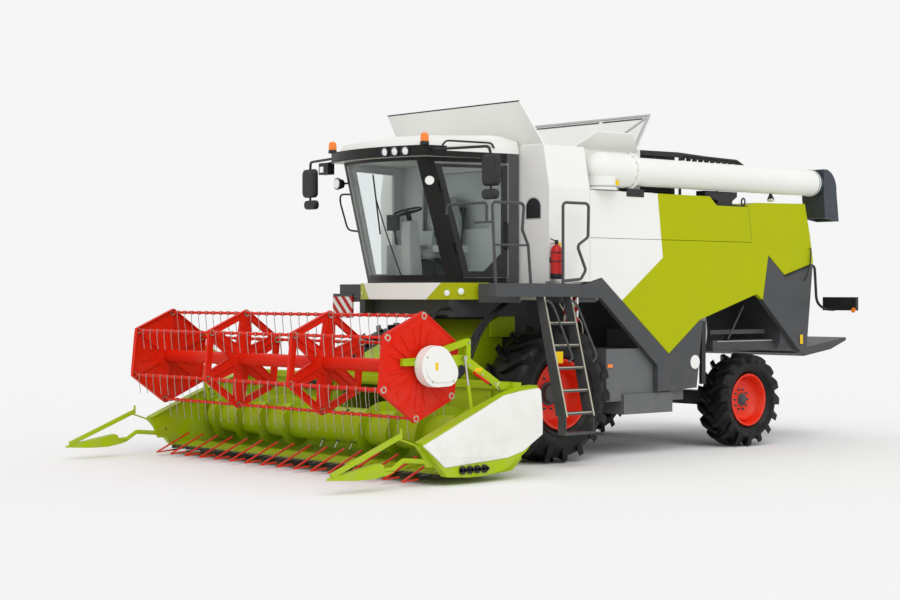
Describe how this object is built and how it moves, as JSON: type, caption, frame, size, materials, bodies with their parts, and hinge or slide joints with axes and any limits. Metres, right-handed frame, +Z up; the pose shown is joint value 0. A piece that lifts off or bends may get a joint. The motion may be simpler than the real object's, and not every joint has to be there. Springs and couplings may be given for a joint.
{
  "type": "combine harvester",
  "caption": "Self-propelled combine harvester with a cab, open grain tank lids, stowed unloading tube, straw chopper and a cutting header with a pick-up reel.",
  "frame": {"origin": "on the ground, under the centre of the bounding box", "axes": "+X towards the machine's left side, -Y towards the header at its front, +Z up"},
  "size_m": [5.19, 9.72, 4.1498],
  "materials": {
    "lime_paint": "gloss",
    "header_green": "gloss",
    "white_paint": "gloss",
    "dark_grey_paint": "satin",
    "pale_grey_paint": "satin",
    "red_paint": "gloss",
    "black_plastic": "matte",
    "grey_plastic": "matte",
    "tyre_rubber": "matte",
    "hose_rubber": "matte",
    "clear_glass": "clear",
    "worn_steel": "satin",
    "bright_rod": "polished"
  },
  "bodies": {
    "chassis": {"main_frame": "dark_grey_paint", "engine": "dark_grey_paint", "grain_tank": "white_paint", "upper_panels": "white_paint", "side_skirts": "dark_grey_paint", "side_boxes": "pale_grey_paint", "engine_deck": "white_paint", "rear_hood": "lime_paint", "chopper": "dark_grey_paint", "cab_frame": "black_plastic", "cab_glass": "clear_glass", "cab_roof": "white_paint", "cab_interior": "grey_plastic", "valance": "lime_paint", "platform": "dark_grey_paint", "ladder": "dark_grey_paint", "front_axle": "dark_grey_paint", "rear_axle": "dark_grey_paint", "mirrors": "black_plastic", "lamps": "black_plastic", "fire_extinguisher": "red_paint", "hoses": "hose_rubber"},
    "header": {"feeder_house": "header_green", "header_frame": "header_green", "header_shields": "white_paint", "knife_bar": "worn_steel", "dividers": "header_green"},
    "auger": {"header_auger": "header_green"},
    "reel_carrier": {"reel_arms": "header_green"},
    "pickup_reel": {"reel": "red_paint"},
    "lift_barrel_pair": {"lift_barrels": "header_green"},
    "lift_rod_pair": {"lift_rods": "bright_rod"},
    "reel_barrel_pair": {"reel_barrels": "header_green"},
    "reel_rod_pair": {"reel_rods": "bright_rod"},
    "front_wheel_left": {"front_rim_left": "red_paint", "front_tyre_left": "tyre_rubber"},
    "front_wheel_right": {"front_rim_right": "red_paint", "front_tyre_right": "tyre_rubber"},
    "steer_left": {"knuckle_left": "dark_grey_paint"},
    "steer_right": {"knuckle_right": "dark_grey_paint"},
    "rear_wheel_left": {"rear_rim_left": "red_paint", "rear_tyre_left": "tyre_rubber"},
    "rear_wheel_right": {"rear_rim_right": "red_paint", "rear_tyre_right": "tyre_rubber"},
    "unloader": {"unloading_tube": "white_paint", "unloading_spout": "dark_grey_paint"},
    "door": {"cab_door": "black_plastic", "door_glass": "clear_glass"},
    "lid_front": {"tank_lid_front": "white_paint"},
    "lid_rear": {"tank_lid_rear": "white_paint"},
    "lid_left": {"tank_lid_left": "white_paint"},
    "lid_right": {"tank_lid_right": "white_paint"},
    "flank_left": {"side_door_left": "lime_paint"},
    "flank_right": {"side_door_right": "lime_paint"},
    "tines_1": {"tine_bar_1": "red_paint"},
    "tines_2": {"tine_bar_2": "red_paint"},
    "tines_3": {"tine_bar_3": "red_paint"},
    "tines_4": {"tine_bar_4": "red_paint"},
    "tines_5": {"tine_bar_5": "red_paint"},
    "tines_6": {"tine_bar_6": "red_paint"}
  },
  "joints": [
    {"name": "feeder_lift", "type": "hinge", "parent": "chassis", "child": "header", "pos_m": [0, -0.96, 1.55], "axis": [-1, 0, 0], "range_deg": [-1, 24], "deforming": ["hoses"]},
    {"name": "lift_barrel_swing", "type": "hinge", "parent": "chassis", "child": "lift_barrel_pair", "pos_m": [0, -0.97, 0.5], "axis": [-1, 0, 0], "range_deg": [-1.5, 26]},
    {"name": "lift_rod_slide", "type": "slide", "parent": "lift_barrel_pair", "child": "lift_rod_pair", "axis": [0, -0.9817, -0.1902], "range_m": [-0.03, 0.46]},
    {"name": "auger_spin", "type": "hinge", "parent": "header", "child": "auger", "pos_m": [0, -2.76, 0.455], "axis": [1, 0, 0], "continuous": true},
    {"name": "reel_lift", "type": "hinge", "parent": "header", "child": "reel_carrier", "pos_m": [0, -2.51, 0.97], "axis": [-1, 0, 0], "range_deg": [-3, 35]},
    {"name": "reel_barrel_swing", "type": "hinge", "parent": "header", "child": "reel_barrel_pair", "pos_m": [0, -2.92, 0.6], "axis": [-1, 0, 0], "range_deg": [-3, 24]},
    {"name": "reel_rod_slide", "type": "slide", "parent": "reel_barrel_pair", "child": "reel_rod_pair", "axis": [0, -0.1679, 0.9858], "range_m": [-0.03, 0.28]},
    {"name": "reel_spin", "type": "hinge", "parent": "reel_carrier", "child": "pickup_reel", "pos_m": [0, -3.56, 1.194], "axis": [1, 0, 0], "continuous": true},
    {"name": "tine_bar_1_turn", "type": "hinge", "parent": "pickup_reel", "child": "tines_1", "pos_m": [0, -3.50709, 1.7113], "axis": [1, 0, 0], "continuous": true},
    {"name": "tine_bar_2_turn", "type": "hinge", "parent": "pickup_reel", "child": "tines_2", "pos_m": [0, -3.98154, 1.49847], "axis": [1, 0, 0], "continuous": true},
    {"name": "tine_bar_3_turn", "type": "hinge", "parent": "pickup_reel", "child": "tines_3", "pos_m": [0, -4.03445, 0.98117], "axis": [1, 0, 0], "continuous": true},
    {"name": "tine_bar_4_turn", "type": "hinge", "parent": "pickup_reel", "child": "tines_4", "pos_m": [0, -3.61291, 0.6767], "axis": [1, 0, 0], "continuous": true},
    {"name": "tine_bar_5_turn", "type": "hinge", "parent": "pickup_reel", "child": "tines_5", "pos_m": [0, -3.13846, 0.88953], "axis": [1, 0, 0], "continuous": true},
    {"name": "tine_bar_6_turn", "type": "hinge", "parent": "pickup_reel", "child": "tines_6", "pos_m": [0, -3.08555, 1.40683], "axis": [1, 0, 0], "continuous": true},
    {"name": "front_wheel_left_spin", "type": "hinge", "parent": "chassis", "child": "front_wheel_left", "pos_m": [1.3, -0.765, 0.785], "axis": [1, 0, 0], "continuous": true},
    {"name": "steer_left_turn", "type": "hinge", "parent": "chassis", "child": "steer_left", "pos_m": [1.04, 2.625, 0.59], "axis": [0, 0, 1], "range_deg": [-42, 42]},
    {"name": "rear_wheel_left_spin", "type": "hinge", "parent": "steer_left", "child": "rear_wheel_left", "pos_m": [1.33, 2.625, 0.59], "axis": [1, 0, 0], "continuous": true},
    {"name": "front_wheel_right_spin", "type": "hinge", "parent": "chassis", "child": "front_wheel_right", "pos_m": [-1.3, -0.765, 0.785], "axis": [1, 0, 0], "continuous": true},
    {"name": "steer_right_turn", "type": "hinge", "parent": "chassis", "child": "steer_right", "pos_m": [-1.04, 2.625, 0.59], "axis": [0, 0, 1], "range_deg": [-42, 42]},
    {"name": "rear_wheel_right_spin", "type": "hinge", "parent": "steer_right", "child": "rear_wheel_right", "pos_m": [-1.33, 2.625, 0.59], "axis": [1, 0, 0], "continuous": true},
    {"name": "unloader_swing", "type": "hinge", "parent": "chassis", "child": "unloader", "pos_m": [1.45, -0.03, 3.3], "axis": [0, 0, -1], "range_deg": [0, 95]},
    {"name": "cab_door_hinge", "type": "hinge", "parent": "chassis", "child": "door", "pos_m": [0.85, -1.69, 2.3], "axis": [0.047, 0.2791, -0.9591], "range_deg": [0, 46]},
    {"name": "tank_lid_front_fold", "type": "hinge", "parent": "chassis", "child": "lid_front", "pos_m": [0, -0.93, 3.6526], "axis": [-1, 0, 0], "range_deg": [0, 104]},
    {"name": "tank_lid_rear_fold", "type": "hinge", "parent": "chassis", "child": "lid_rear", "pos_m": [0, 0.89, 3.695], "axis": [1, 0, 0], "range_deg": [0, 122]},
    {"name": "tank_lid_left_fold", "type": "hinge", "parent": "chassis", "child": "lid_left", "pos_m": [1.208, 0.31, 3.6526], "axis": [0, -1, 0], "range_deg": [0, 126]},
    {"name": "tank_lid_right_fold", "type": "hinge", "parent": "chassis", "child": "lid_right", "pos_m": [-1.208, 0.31, 3.6526], "axis": [0, 1, 0], "range_deg": [0, 126]},
    {"name": "side_door_left_lift", "type": "hinge", "parent": "chassis", "child": "flank_left", "pos_m": [1.522, 1.2, 2.585], "axis": [0, -1, 0], "range_deg": [0, 75]},
    {"name": "side_door_right_lift", "type": "hinge", "parent": "chassis", "child": "flank_right", "pos_m": [-1.522, 1.2, 2.585], "axis": [0, 1, 0], "range_deg": [0, 75]}
  ],
  "couplings": [
    {"joint": "lift_barrel_swing", "follows": "feeder_lift", "ratio": 0.993},
    {"joint": "lift_rod_slide", "follows": "feeder_lift", "m_per_rad": 1.042},
    {"joint": "reel_barrel_swing", "follows": "reel_lift", "ratio": 0.5525},
    {"joint": "reel_rod_slide", "follows": "reel_lift", "m_per_rad": 0.4229},
    {"joint": "steer_right_turn", "follows": "steer_left_turn", "ratio": 1},
    {"joint": "tank_lid_rear_fold", "follows": "tank_lid_front_fold", "ratio": 1.1731},
    {"joint": "tank_lid_left_fold", "follows": "tank_lid_front_fold", "ratio": 1.2115},
    {"joint": "tank_lid_right_fold", "follows": "tank_lid_front_fold", "ratio": 1.2115},
    {"joint": "tine_bar_1_turn", "follows": "reel_spin", "ratio": -1},
    {"joint": "tine_bar_2_turn", "follows": "reel_spin", "ratio": -1},
    {"joint": "tine_bar_3_turn", "follows": "reel_spin", "ratio": -1},
    {"joint": "tine_bar_4_turn", "follows": "reel_spin", "ratio": -1},
    {"joint": "tine_bar_5_turn", "follows": "reel_spin", "ratio": -1},
    {"joint": "tine_bar_6_turn", "follows": "reel_spin", "ratio": -1}
  ]
}
